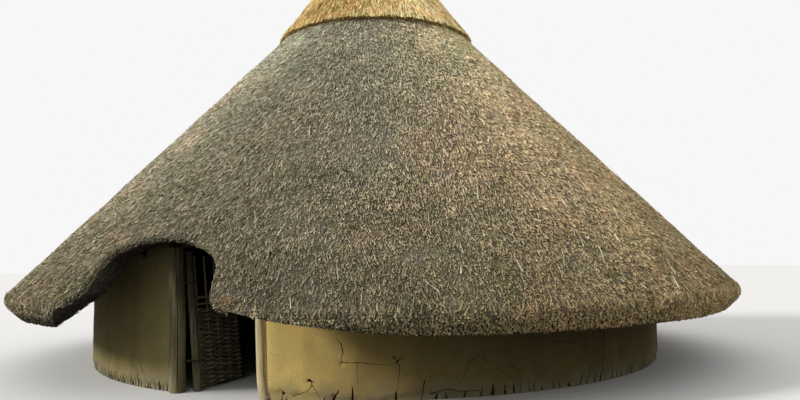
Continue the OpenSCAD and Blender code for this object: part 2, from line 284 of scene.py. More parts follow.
# Tints round the roof: partly the thatch's own tone, partly painted light, brightest on the right
# side, which the key lamp barely reaches
TONE_AND_PAINTED_LIGHT_ROUND_THE_ROOF = (
    turned(-120, (1.08, 1.05, 1.01)),
    turned(-60, (1.12, 1.11, 1.04)),
    turned(-22, (1.26, 1.24, 1.17)),
    turned(-2, (0.96, 0.97, 0.91)),
    turned(22, (1.08, 1.05, 0.95)),
    turned(42, (1.30, 1.18, 0.96)),
    turned(62, (1.66, 1.49, 1.18)),
    turned(85, (1.62, 1.45, 1.15)),
    turned(140, (1.12, 1.07, 0.99)),
)
UP_THE_ROOF = (
    (0.14, (0.70, 0.66, 0.54)),
    (0.22, (0.73, 0.70, 0.60)),
    (0.30, (0.92, 0.90, 0.81)),
    (0.55, (1.26, 1.26, 1.23)),
    (0.95, (1.66, 1.80, 1.90)),
)
ROUND_THE_CAP = (
    turned(-60, (1.08, 1.06, 1.06)),
    turned(10, (0.96, 0.92, 0.82)),
    turned(50, (1.56, 1.70, 2.05)),
    turned(120, (1.00, 0.98, 0.94)),
)
EARTH_COLOURS = (
    (0.30, (0.29, 0.228, 0.098)),
    (0.50, (0.35, 0.283, 0.122)),
    (0.70, (0.39, 0.318, 0.155)),
)
# Painted light and shade round the wall: a painted pool of light right of the doorway, and painted
# shade under the eave further round
PAINTED_LIGHT_ROUND_THE_WALL = (
    turned(-90, 1.1),
    turned(-42, (0.76, 0.78, 0.74)),
    turned(-14, (0.94, 0.95, 0.91)),
    turned(-4, (0.94, 0.95, 0.91)),
    turned(5, (2.30, 2.08, 1.58)),
    turned(14, (2.26, 2.02, 1.54)),
    turned(18, (1.95, 1.75, 1.36)),
    turned(23, (1.35, 1.22, 0.98)),
    turned(30, (0.88, 0.83, 0.72)),
    turned(42, (0.53, 0.51, 0.45)),
    turned(58, (0.43, 0.42, 0.36)),
    turned(75, (0.45, 0.45, 0.41)),
    turned(110, 1.1),
)
# Painted shade under the eave: the daub darker towards its top
PAINTED_SHADE_UP_THE_WALL = ((0.10, 1.06), (0.4, 1.0), (0.6, 0.68), (0.85, 0.44))
# Painted shade under the eave: wood darker towards its top
PAINTED_SHADE_UNDER_THE_EAVE = ((0.06, 1.2), (0.35, 0.95), (0.75, 0.45))


# Materials


def depth_in_thatch(tree, place):
    """How far a place lies under the roof's outer face, as a share of the thatch's thickness."""
    x, y, z = add(tree, "ShaderNodeSeparateXYZ", {0: place}).outputs
    squares = maths(tree, "ADD", maths(tree, "MULTIPLY", x, x), maths(tree, "MULTIPLY", y, y))
    across = maths(tree, "MULTIPLY", maths(tree, "SQRT", squares), FALL)
    over = maths(tree, "ADD", maths(tree, "MULTIPLY", z, DOWN_SLOPE), across)
    return maths(tree, "MULTIPLY_ADD", over, -1 / THATCH_DEPTH, APEX * DOWN_SLOPE / THATCH_DEPTH)


def round_the_house(tree, place, ragged):
    """Where a place lies round the house: a share of the full turn, the doorway at a half."""
    x, y, _ = add(tree, "ShaderNodeSeparateXYZ", {0: place}).outputs
    turn = maths(tree, "ARCTAN2", x, maths(tree, "MULTIPLY", y, -1.0))
    wavering = maths(tree, "MULTIPLY_ADD", clouds(tree, place, 1.4), ragged, 0.5 - ragged / 2)
    return maths(tree, "ADD", maths(tree, "MULTIPLY", turn, 1 / math.tau), wavering)


def reed_material(
    name, colours, painted_light_and_shade_by_depth, tints=REED_TINTS, sides=TONE_AND_PAINTED_LIGHT_ROUND_THE_ROOF, heights=UP_THE_ROOF
):
    """Loose ends: each has its own shade, under slow changes of tint over the roof.
    Their tint by depth under the outer face is painted shade where it darkens and painted light
    where it brightens; sides tint them round the house, partly painted light, and heights as far as
    TINTED_HEIGHT."""
    material, tree, shader, place = new_material(name, 0.8, 0.2)
    weather = clouds(tree, place, 0.9, detail=5, rough=0.6)
    patches = clouds(tree, place, 5.5, detail=3, rough=0.6, upright=0.5)
    scars = clouds(tree, place, 2.4, detail=3, upright=0.5)
    height = maths(tree, "MULTIPLY", height_of(tree, place), 1 / TINTED_HEIGHT)
    colour = tinted(
        tree,
        ramp(tree, attribute(tree, "shade"), *colours),
        ramp(tree, weather, *tints),
        ramp(tree, patches, (0.34, (0.84, 0.89, 0.78)), (0.5, 1.0), (0.66, (1.09, 1.03, 1.0))),
        ramp(tree, scars, (0.24, 0.5), (0.32, 1.0)),
        # Tone and painted light round the roof
        ramp(tree, round_the_house(tree, place, 0.03), *sides),
        ramp(tree, height, *heights),
        # Tint by depth under the outer face: painted shade where it darkens, painted light where it
        # brightens
        ramp(tree, depth_in_thatch(tree, place), *painted_light_and_shade_by_depth),
    )
    paint(tree, shader, colour)
    return material


def thatch_bed_material(name, dark, pale, painted_light_and_shade_by_depth):
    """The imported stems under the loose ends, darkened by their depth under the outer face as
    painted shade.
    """
    material, tree, shader, place = new_material(name, 0.9, 0.1)
    stems = clouds(tree, place, 60, detail=3, upright=0.2)
    packed = ramp(tree, stems, (0.3, dark), (0.7, pale))
    shaded = tinted(tree, packed, ramp(tree, depth_in_thatch(tree, place), *painted_light_and_shade_by_depth))
    paint(tree, shader, shaded, stems, 0.01)
    return material


def daub_material():
    """Ochre earth plaster: cloudy, streaked by rain, grey at the foot, with painted light and shade
    round and up the wall and painted shade in its cracks and broken slots.
    """
    material, tree, shader, place = new_material("daub", 0.92, 0.15)
    height = height_of(tree, place)
    height_share = maths(tree, "MULTIPLY", height, 1 / TINTED_WALL_HEIGHT)
    broad = clouds(tree, place, 0.9, detail=6, rough=0.6)
    streaks = clouds(tree, place, 3.2, upright=0.12)
    grain = clouds(tree, place, 55, rough=0.7)
    blotches = clouds(tree, place, 4.5, rough=0.6)
    earth = tinted(
        tree,
        ramp(tree, broad, *EARTH_COLOURS),
        # Painted light and shade round the wall
        ramp(tree, round_the_house(tree, place, 0.02), *PAINTED_LIGHT_ROUND_THE_WALL),
        # Painted shade under the eave, darker towards the top
        ramp(tree, height_share, *PAINTED_SHADE_UP_THE_WALL),
        ramp(tree, streaks, (0.35, 0.84), (0.6, 1.03)),
        ramp(tree, grain, (0.3, 0.9), (0.7, 1.06)),
        ramp(tree, blotches, (0.32, (0.90, 0.90, 0.88)), (0.5, 1.0), (0.68, (1.05, 1.0, 0.95))),
    )
    ragged = maths(tree, "MULTIPLY_ADD", clouds(tree, place, 2.6, detail=5), 0.5, -0.25)
    damp = ramp(tree, maths(tree, "ADD", height, ragged), (0.0, 1.0), (0.2, 0.0))
    greyed = mix(tree, maths(tree, "MULTIPLY", damp, 0.65), earth, (0.27, 0.25, 0.165))

    bent = vector_maths(tree, "ADD", place, scaled(tree, noise_of(tree, place, 5.0)["Color"], 0.12))
    cells = {"Vector": bent, "Scale": 2.6}
    network = add(tree, "ShaderNodeTexVoronoi", cells, feature="DISTANCE_TO_EDGE")
    where = ramp(tree, clouds(tree, place, 1.7, detail=2), (0.56, 0.0), (0.66, 1.0))
    low = ramp(tree, height, (0.2, 1.0), (0.5, 0.15))
    hairline = ramp(tree, network.outputs["Distance"], (0.0, 1.0), (0.010, 0.0))
    hairlines = maths(tree, "MULTIPLY", hairline, maths(tree, "MULTIPLY", where, low))
    lined = mix(tree, maths(tree, "MULTIPLY", hairlines, 0.5), greyed, (0.1, 0.075, 0.04))

    # Painted shade in the cracks and broken slots, darker the deeper they go
    deep = ramp(tree, attribute(tree, "worn"), (0.02, 0.0), (0.55, 1.0))
    broken = mix(tree, deep, lined, (0.045, 0.033, 0.018))
    rough = maths(tree, "MULTIPLY_ADD", broad, 0.5, maths(tree, "MULTIPLY", grain, 0.35))
    relief = maths(tree, "SUBTRACT", rough, maths(tree, "MULTIPLY", hairlines, 0.4))
    paint(tree, shader, broken, relief, 0.012)
    return material


def wood_material(name, dark, middle, pale, heights=PAINTED_SHADE_UNDER_THE_EAVE):
    """Weathered wood with upright grain, painted shade in its drying cracks, and a tint by height,
    which by default is painted shade under the eave.
    """
    material, tree, shader, place = new_material(name, 0.8, 0.12)
    grain = clouds(tree, place, 42, detail=5, rough=0.65, upright=0.045)
    broad = clouds(tree, place, 3.5, upright=0.4)
    height = maths(tree, "MULTIPLY", height_of(tree, place), 1 / TINTED_WALL_HEIGHT)
    weathered = tinted(
        tree,
        ramp(tree, grain, (0.3, dark), (0.5, middle), (0.68, pale)),
        ramp(tree, broad, (0.3, 0.68), (0.65, 1.12)),
        ramp(tree, height, *heights),
    )
    # Painted shade in the drying cracks, near black where deepest
    cracked = mix(tree, attribute(tree, "worn"), weathered, (0.012, 0.009, 0.006))
    paint(tree, shader, cracked, grain, 0.005)
    return material


def bark_material(name, dark, pale):
    """Round wood with its bark on, mottled."""
    material, tree, shader, place = new_material(name, 0.85, 0.08)
    mottle = clouds(tree, place, 26, detail=5, rough=0.7)
    bark = ramp(tree, mottle, (0.32, dark), (0.7, pale))
    own = tinted(tree, bark, ramp(tree, attribute(tree, "shade"), (0.0, 0.7), (1.0, 1.25)))
    paint(tree, shader, own, mottle, 0.003)
    return material


# Painted shade: the reeds darker where they lie deepest under the outer face, at the eave's
# underside
reeds = reed_material("reed_ends", REED_COLOURS, ((0.75, 1.0), (1.0, 0.65)))
# Painted light: the eave's blunt ends, which face away from the sky, brightened up to twice by
# depth, partly as paler fresh-cut ends; painted shade at the very bottom
painted_light_eave_end_reeds = reed_material(
    "painted_light_eave_end_reeds", REED_COLOURS, ((0.05, 1.15), (0.22, 1.65), (0.85, 2.0), (0.97, 0.7))
)
# Painted shade: the blunt ends beside the worn corner darkened by depth, down to a fifth at the
# bottom
painted_shade_end_reeds = reed_material(
    "painted_shade_end_reeds", REED_COLOURS, ((0.35, 1.0), (0.62, 0.42), (0.95, 0.2))
)
# Painted shade: the arch's cut sides dark, and darker the deeper they lie under the outer face
painted_shade_cut_reeds = reed_material(
    "painted_shade_cut_reeds",
    ((0.0, (0.07, 0.062, 0.045)), (0.5, (0.25, 0.23, 0.17)), (1.0, (0.45, 0.41, 0.32))),
    ((0.00, 0.95), (0.22, 0.45), (0.6, 0.21), (1.0, 0.18)),
    sides=PLAIN,
    heights=PLAIN,
)
# Stray pale reeds: their own pale tone, with painted shade where they lie deeper under the outer
# face
pale_reeds = reed_material(
    "pale_reeds",
    ((0.0, (0.50, 0.44, 0.33)), (0.6, (0.78, 0.70, 0.54)), (1.0, (0.95, 0.88, 0.72))),
    ((0.2, 1.0), (0.6, 0.4)),
    sides=PLAIN,
    heights=PLAIN,
)
straws = reed_material(
    "straw_ends",
    STRAW_COLOURS,
    PLAIN,
    tints=((0.30, (0.86, 0.80, 0.74)), (0.50, (1.0, 0.98, 0.95)), (0.70, (1.10, 1.08, 1.06))),
    sides=ROUND_THE_CAP,
    # Painted light: straws up to 1.6 times brighter at the cap's foot, where its end lies in shade
    heights=((CAP_FOOT, (1.30, 1.46, 1.60)), (CAP_FOOT + 0.022, 1.05), (1.0, 1.1)),
)
tuft_straws = reed_material(
    "tuft_straws",
    ((0.0, (0.30, 0.165, 0.065)), (0.6, (0.50, 0.31, 0.14)), (1.0, (0.62, 0.45, 0.23))),
    PLAIN,
    tints=((0.3, 0.9), (0.7, 1.1)),
    sides=PLAIN,
    heights=PLAIN,
)
# Painted shade: the bed darker the deeper under the outer face
thatch_bed = thatch_bed_material(
    "thatch_bed", (0.08, 0.072, 0.055), (0.24, 0.212, 0.165), ((0.02, 1.0), (0.4, 0.5), (1.0, 0.15))
)
straw_bed = thatch_bed_material("straw_bed", (0.20, 0.125, 0.045), (0.50, 0.35, 0.14), PLAIN)
daub = daub_material()
grey_timber = wood_material(
    "grey_timber", (0.080, 0.069, 0.038), (0.240, 0.208, 0.110), (0.42, 0.365, 0.205)
)
leaf_timber = wood_material(
    "leaf_timber", (0.050, 0.044, 0.027), (0.150, 0.132, 0.075), (0.27, 0.240, 0.145)
)
dark_timber = wood_material(
    "dark_timber", (0.020, 0.018, 0.012), (0.055, 0.048, 0.033), (0.10, 0.088, 0.060)
)
pale_timber = wood_material(
    "pale_timber",
    (0.34, 0.265, 0.145),
    (0.68, 0.540, 0.300),
    (0.90, 0.745, 0.460),
    ((0.0, 0.95), (0.5, 1.0)),
)
roof_poles = bark_material("roof_poles", (0.016, 0.012, 0.006), (0.055, 0.042, 0.024))
hazel = bark_material("hazel_rods", (0.040, 0.030, 0.020), (0.15, 0.115, 0.075))
hurdle = bark_material("door_wattle", (0.15, 0.130, 0.090), (0.36, 0.315, 0.220))


# Pieces


def new_mesh(name, corners, faces):
    mesh = bpy.data.meshes.new(name)
    mesh.from_pydata(corners, [], faces)
    return mesh


def opened(mesh, joined=True):
    """A mesh open for work, with the CAD's loose triangles joined."""
    work = bmesh.new()
    work.from_mesh(mesh)
    if joined:
        bmesh.ops.remove_doubles(work, verts=work.verts, dist=SAME_POINT)
    return work


def closed(work, mesh):
    """The mesh with the work written to it."""
    work.to_mesh(mesh)
    work.free()
    return mesh


def with_lie(mesh, ways):
    """The mesh with the way that reeds lie on each of its faces."""
    stored = mesh.attributes.new("lie", "FLOAT_VECTOR", "FACE")
    stored.data.foreach_set("vector", [c for way in ways for c in way])
    return mesh


def with_painted_crack_shade(mesh, worn):
    """The mesh with a share from 0 to 1 at each of its points, mostly how deep it lies in a crack
    or slot, by which the finishes paint shade.
    """
    mesh.attributes.new("worn", "FLOAT", "POINT").data.foreach_set("value", worn)
    return mesh


def place_piece(name, mesh, body, material, slot, *stands_for):
    """A new piece that rides on a body and stands for the named CAD nodes."""
    mesh.materials.clear()
    mesh.materials.append(material)
    piece = bpy.data.objects.new(name, mesh)
    scene.collection.objects.link(piece)
    if stands_for:
        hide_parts(*stands_for)
    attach(piece, body)


def dress(node, material):
    """A CAD node that keeps its shape and gets a finish."""
    nodes[node].data.materials.clear()
    nodes[node].data.materials.append(material)


def evaluated_mesh(source, tree, **values):
    """The mesh that a Geometry Nodes tree makes from a mesh or curve."""
    holder = bpy.data.objects.new("holder", source)
    scene.collection.objects.link(holder)
    modifier = holder.modifiers.new("nodes", "NODES")
    modifier.node_group = tree
    for item in tree.interface.items_tree:
        if item.in_out == "INPUT" and item.name in values:
            modifier[item.identifier] = values[item.name]
    bpy.context.view_layer.update()
    graph = bpy.context.evaluated_depsgraph_get()
    mesh = bpy.data.meshes.new_from_object(holder.evaluated_get(graph))
    bpy.data.objects.remove(holder)
    return mesh


def start_tree(name, floats, whole):
    """A Geometry Nodes tree with its named inputs, and the sockets that give them."""
    tree = bpy.data.node_groups.new(name, "GeometryNodeTree")
    kinds = {"Geometry": "Geometry", **dict.fromkeys(floats, "Float"), whole: "Int"}
    for label, kind in {**kinds, "Material": "Material"}.items():
        tree.interface.new_socket(label, in_out="INPUT", socket_type="NodeSocket" + kind)
    tree.interface.new_socket("Geometry", in_out="OUTPUT", socket_type="NodeSocketGeometry")
    return tree, add(tree, "NodeGroupInput").outputs


def with_shade(tree, geometry, shade, domain):
    """Gives each reed or rod its own shade."""
    inputs = {"Geometry": geometry, "Name": "shade", "Value": shade}
    kind = "GeometryNodeStoreNamedAttribute"
    return add(tree, kind, inputs, data_type="FLOAT", domain=domain).outputs[0]


def shifted(tree, geometry, offset):
    inputs = {"Geometry": geometry, "Offset": offset}
    return add(tree, "GeometryNodeSetPosition", inputs).outputs[0]


def end_tree(tree, geometry, material):
    real = add(tree, "GeometryNodeRealizeInstances", {0: geometry}).outputs[0]
    shown = add(tree, "GeometryNodeSetMaterial", {"Geometry": real, "Material": material})
    add(tree, "NodeGroupOutput", {0: shown.outputs[0]})
    return tree


# Thatch


def reed_tree():
    """Lays thin wedges over a surface along its lie, with their blunt ends standing out."""
    sizes = ("Spacing", "Length", "Width", "Lift", "Spread", "Sway", "Proud", "Swell")
    tree, given = start_tree("laid_reeds", sizes, "Seed")

    def chance(low, high, seed):
        inputs = {2: low, 3: high, "Seed": seed}
        return add(tree, "FunctionNodeRandomValue", inputs, data_type="FLOAT").outputs[1]

    square = maths(tree, "MULTIPLY", given["Spacing"], given["Spacing"])
    inputs = {
        "Mesh": given["Geometry"],
        "Distance Min": given["Spacing"],
        "Density Max": maths(tree, "DIVIDE", 2.2, square),
        "Seed": given["Seed"],
    }
    kind = "GeometryNodeDistributePointsOnFaces"
    spots = add(tree, kind, inputs, distribute_method="POISSON").outputs
    kind = "GeometryNodeInputNamedAttribute"
    lie = add(tree, kind, {"Name": "lie"}, data_type="FLOAT_VECTOR").outputs[0]
    position = add(tree, "GeometryNodeInputPosition").outputs[0]

    slow = noise_of(tree, position, 1.6, 3.0)
    drift = vector_maths(tree, "SUBTRACT", slow["Color"], (0.5, 0.5, 0.5))
    inputs = {0: (-1, -1, -1), 1: (1, 1, 1), "Seed": 1}
    scatter = add(tree, "FunctionNodeRandomValue", inputs, data_type="FLOAT_VECTOR").outputs[0]
    outwards = vector_maths(tree, "DOT_PRODUCT", scatter, spots["Normal"], output="Value")
    standing = scaled(tree, spots["Normal"], maths(tree, "MULTIPLY", outwards, 0.75))
    scatter = vector_maths(tree, "SUBTRACT", scatter, standing)
    way = lie
    for part, size in ((spots["Normal"], "Lift"), (scatter, "Spread"), (drift, "Sway")):
        way = vector_maths(tree, "ADD", way, scaled(tree, part, given[size]))
    inputs = {"Vector": scaled(tree, way, -1.0)}
    aligned = add(tree, "FunctionNodeAlignRotationToVector", inputs, axis="Z").outputs[0]
    spin = add(tree, "ShaderNodeCombineXYZ", {"Z": chance(0, math.tau, 2)}).outputs[0]
    inputs = {"Rotation": aligned, "Rotate By": spin}
    spun = add(tree, "FunctionNodeRotateRotation", inputs, rotation_space="LOCAL").outputs[0]

    wave = maths(tree, "SUBTRACT", slow["Fac"], 0.5)
    proud = maths(tree, "MULTIPLY", given["Proud"], chance(0.3, 1.5, 3))
    rise = maths(tree, "ADD", proud, maths(tree, "MULTIPLY", wave, given["Swell"]))
    lifted = shifted(tree, spots["Points"], scaled(tree, spots["Normal"], rise))
    wedge = {"Vertices": 3, "Radius Top": 0.0, "Radius Bottom": given["Width"]}
    reed = add(tree, "GeometryNodeMeshCone", {**wedge, "Depth": given["Length"]}).outputs["Mesh"]
    thick = chance(0.65, 1.45, 4)
    inputs = {"X": thick, "Y": thick, "Z": chance(0.6, 1.4, 5)}
    size = add(tree, "ShaderNodeCombineXYZ", inputs).outputs[0]
    inputs = {"Points": lifted, "Instance": reed, "Rotation": spun, "Scale": size}
    laid = add(tree, "GeometryNodeInstanceOnPoints", inputs).outputs[0]

    clump = maths(tree, "SUBTRACT", noise_of(tree, position, 26.0, 1.0)["Fac"], 0.5)
    own = maths(tree, "MULTIPLY_ADD", chance(-0.5, 0.5, 6), 0.7, 0.45)
    shade = maths(tree, "ADD", own, maths(tree, "MULTIPLY", clump, 1.9))
    return end_tree(tree, with_shade(tree, laid, shade, "INSTANCE"), given["Material"])


def outwards(place):
    """Level, away from the house's axis."""
    return Vector((place.x, place.y, 0)).normalized()


def slope_out(place):
    """Outwards, square to the roof's slope."""
    return outwards(place) * FALL + Vector((0, 0, DOWN_SLOPE))


def slope_down(place, normal=None):
    """Straight down the roof's slope."""
    return outwards(place) * DOWN_SLOPE - Vector((0, 0, FALL))


def along_surface(way, normal):
    """A way bent to run along a surface."""
    return (way - normal * way.dot(normal)).normalized()


def fall_line(place, normal):
    """Straight down along the surface itself."""
    return along_surface(Vector((0, 0, -1)), normal)


def along_the_cut(place, normal):
    """Down the slope, along the cut sides of the arch."""
    return along_surface(slope_down(place), normal)


def round_the_edge(place, normal):
    """Down the slope, and on over the eave's rounding."""
    way = slope_down(place)
    if normal.dot(way) < 0.9:
        return along_surface(way, normal)
    return (0.5 * way + fall_line(place, normal)).normalized()


def down_skirt(place, normal=None):
    """Down the skirt of the straw cap, which is steeper than the roof."""
    return outwards(place) * math.cos(CAP_SKIRT) - Vector((0, 0, math.sin(CAP_SKIRT)))


def near_worn_corner(place):
    left, right, back, top = WORN_AROUND
    return left < place.x < right and place.y < back and place.z < top


def on_worn_corner(place, normal):
    return near_worn_corner(place) and normal.dot(WORN_AWAY) > 0.995


def on_top(place, normal):
    return normal.dot(slope_out(place)) > 0.5


def on_slope(place, normal):
    """The straight outer slope, as far as the eave's rounding."""
    return normal.dot(slope_out(place)) > 0.97


def in_arch(place, normal):
    """The cut sides and crown of the arch over the doorway."""
    return place.y < DOOR_SIDE and (abs(normal.y) < 0.02 or on_worn_corner(place, normal))


def at_eave(place, normal):
    """The blunt eave under the outer slope, and not what faces down or in."""
    if in_arch(place, normal) or on_slope(place, normal):
        return False
    near_edge = from_axis(place) > EAVE_RADIUS - EAVE_REACH
    return near_edge and normal.dot(slope_down(place)) > 0.2 and normal.dot(slope_out(place)) > -0.3


def beside_worn_corner(place, normal):
    """The blunt end of the eave beside the worn corner, which gets painted shade below, as the
    corner does.
    """
    return near_worn_corner(place) and at_eave(place, normal)


def clear_of_worn_corner(place, normal):
    return not near_worn_corner(place) and at_eave(place, normal)


def on_cap(place, normal):
    return normal.z > 0.2


def at_cap_foot(place, normal):
    return normal.z < 0 and normal.dot(slope_down(place)) > 0.5


def on_side(sign, keep):
    """What keep() chooses on one side of the doorway's middle line."""
    return lambda place, normal: place.x * sign > 0 and keep(place, normal)


def worn_eave():
    """The eave's thatch with its worn corner cut off."""
    work = opened(nodes["thatch_eave"].data)
    faces = [f for f in work.faces if all(near_worn_corner(v.co) for v in f.verts)]
    parts = dict.fromkeys(part for f in faces for part in (*f.verts, *f.edges))
    cut = bmesh.ops.bisect_plane(
        work,
        geom=faces + list(parts),
        dist=SAME_POINT,
        plane_co=WORN_CORNER,
        plane_no=WORN_AWAY,
        clear_outer=True,
    )
    rim = [part for part in cut["geom_cut"] if isinstance(part, bmesh.types.BMEdge)]
    bmesh.ops.triangle_fill(work, edges=rim, use_beauty=True)
    bmesh.ops.recalc_face_normals(work, faces=work.faces)
    return closed(work, bpy.data.meshes.new("worn_eave"))


SHAPES = {"thatch_eave": worn_eave()}


def bare_faces(node, keep, lie):
    """The faces of a thatch layer that keep() chooses, each with the way that reeds lie on it."""
    work = opened(SHAPES.get(node, nodes[node].data))
    work.normal_update()
    dropped = [f for f in work.faces if not keep(f.calc_center_median(), f.normal)]
    bmesh.ops.delete(work, geom=dropped, context="FACES")
    ways = [lie(f.calc_center_median(), f.normal) for f in work.faces]
    return with_lie(closed(work, bpy.data.meshes.new(node + "_faces")), ways)


def arch_rim():
    """A ribbon down from the sharp edge between the roof's slope and the cut of the arch."""
    work = opened(SHAPES["thatch_eave"], joined=False)
    work.normal_update()
    corners, ribbons, ways = [], [], []
    for edge in work.edges:
        if len(edge.link_faces) != 2:
            continue
        cuts = [f for f in edge.link_faces if in_arch(f.calc_center_median(), f.normal)]
        tops = [f for f in edge.link_faces if on_slope(f.calc_center_median(), f.normal)]
        if len(cuts) != 1 or len(tops) != 1:
            continue
        a, b = (v.co.copy() for v in edge.verts)
        down = -ARCH_FRINGE * slope_out(a)
        quad = [a, b, b + down, a + down]
        if (b - a).cross(down).dot(cuts[0].normal) < 0:
            quad.reverse()
        ribbons.append(tuple(range(len(corners), len(corners) + 4)))
        corners += quad
        ways.append(slope_down(a))
    work.free()
    return with_lie(new_mesh("arch_rim", corners, ribbons), ways)


def tuft_patch(name, centre, reach):
    """A small square on the slope for a tuft of straws."""
    out = slope_out(centre)
    across = Vector((0, 0, 1)).cross(out).normalized() * reach
    down = slope_down(centre) * reach
    middle = centre + out * 0.02
    corners = [middle + across * i + down * j for i, j in ((-1, -1), (1, -1), (1, 1), (-1, 1))]
    if (corners[1] - corners[0]).cross(corners[3] - corners[0]).dot(out) < 0:
        corners.reverse()
    return with_lie(new_mesh(name, corners, [(0, 1, 2, 3)]), [slope_down(centre)])


def cap_hem():
    """A ring along the cap's lower edge that carries straws past it, to hang over its cut end."""
    radius, level = max((from_axis(p), p.z) for p in places_in("straw_cap"))
    corners = []
    for past, ragged in ((-0.05, 0), (CAP_HEM, 0.03)):
        for k in range(HEM_STEPS):
            turn = math.tau * k / HEM_STEPS
            way = Vector((math.cos(turn), math.sin(turn), 0))
            reach = past + ragged * noise.noise(way * 9)
            drop = level - reach * math.sin(CAP_SKIRT)
            corners.append(way * (radius + reach * math.cos(CAP_SKIRT)) + Vector((0, 0, drop)))
    nexts = [(k, (k + 1) % HEM_STEPS) for k in range(HEM_STEPS)]
    faces = [(k, HEM_STEPS + k, HEM_STEPS + after, after) for k, after in nexts]
    return with_lie(new_mesh("cap_hem", corners, faces), [down_skirt(corners[k]) for k, _ in nexts])


# Sizes of the loose ends: the blunt end shows, the thin end lies in the thatch
REED_WIDTH = 0.0078
LOOSE_REEDS = dict(
    Spacing=0.0185,
    Length=0.13,
    Width=REED_WIDTH,
    Lift=0.2,
    Spread=0.34,
    Sway=0.36,
    Proud=0.014,
    Swell=0.05,
    Material=reeds,
)
EAVE_SLOPE = dict(Length=0.11, Spread=0.58)
EAVE_ENDS = dict(
    Width=REED_WIDTH * 1.6, Length=0.075, Lift=0.12, Spread=0.85, Proud=0.007, Swell=0.03
)
ARCH_SIDES = dict(Length=0.08, Lift=0.05, Sway=0.15, Proud=0.003, Swell=0.0, Material=painted_shade_cut_reeds)
ARCH_EDGE = dict(Lift=0.15, Spread=0.5, Proud=0.012, Swell=0.02)
STRAYS = dict(Spacing=0.24, Length=0.26, Width=0.006, Lift=0.06, Spread=0.5, Proud=0.02)
TUFT_STRAWS = dict(Spacing=0.014, Length=0.06, Width=0.006, Spread=0.6, Material=tuft_straws)
CAP_STRAWS = dict(
    Spacing=0.019,
    Length=0.2,
    Width=0.0065,
    Lift=0.06,
    Spread=0.16,
    Sway=0.25,
    Proud=0.008,
    Swell=0.03,
    Material=straws,
)
CAP_ENDS = dict(
    CAP_STRAWS, Spacing=0.02, Length=0.13, Lift=0.0, Spread=0.22, Proud=0.012, Swell=0.05
)
CAP_HEM_ENDS = dict(CAP_ENDS, Spacing=0.0165)

laid_reeds = reed_tree()


def lay_reeds(name, faces, seed, slot="reed_thatch", **sizes):
    """A piece of loose ends over the faces, sized as LOOSE_REEDS unless sizes say otherwise."""
    sizes = {**LOOSE_REEDS, **sizes}
    mesh = evaluated_mesh(faces, laid_reeds, Seed=seed, **sizes)
    place_piece(name, mesh, "root", sizes["Material"], slot)


def cover(name, node, keep, seed, lie=slope_down, **more):
    """Loose ends over the chosen faces of a CAD node."""
    lay_reeds(name, bare_faces(node, keep, lie), seed, **more)


def thatch():
    for node in ("thatch_top", "thatch_upper", "thatch_middle", "thatch_lower"):
        dress(node, thatch_bed)
    eave = "thatch_eave"
    place_piece("eave_bed", SHAPES[eave].copy(), "root", thatch_bed, "reed_thatch", eave)
    cover("upper_reeds", "thatch_upper", on_top, 11)
    cover("middle_reeds", "thatch_middle", on_top, 12)
    cover("lower_reeds_right", "thatch_lower", on_side(1, on_top), 13)
    cover("lower_reeds_left", "thatch_lower", on_side(-1, on_top), 14)
    ends = dict(EAVE_ENDS, lie=round_the_edge)
    for side, seed, sign in (("right", 15, 1), ("left", 16, -1)):
        cover("eave_reeds_" + side, eave, on_side(sign, on_slope), seed, **EAVE_SLOPE)
        blunt = on_side(sign, clear_of_worn_corner)
        cover("eave_ends_" + side, eave, blunt, seed + 4, Material=painted_light_eave_end_reeds, **ends)
    cover("corner_ends", eave, beside_worn_corner, 30, Material=painted_shade_end_reeds, **ends)
    cover("arch_reeds", eave, in_arch, 18, lie=along_the_cut, **ARCH_SIDES)
    lay_reeds("arch_fringe", arch_rim(), 28, **ARCH_EDGE)
    for i, layer in enumerate(("upper", "middle", "lower", "eave")):
        node = "thatch_" + layer
        cover("stray_reeds_" + layer, node, on_slope, 21 + i, Material=pale_reeds, **STRAYS)
    for name, centre, reach, seed in TUFTS:
        lay_reeds(name, tuft_patch(name, centre, reach), seed, slot="straw", **TUFT_STRAWS)


def straw_cap():
    dress("straw_cap", straw_bed)
    cover("cap_straws", "straw_cap", on_cap, 17, lie=fall_line, slot="straw", **CAP_STRAWS)
    cover("cap_ends", "straw_cap", at_cap_foot, 27, lie=down_skirt, slot="straw", **CAP_ENDS)
    lay_reeds("cap_hem", cap_hem(), 29, slot="straw", **CAP_HEM_ENDS)


# Daub wall


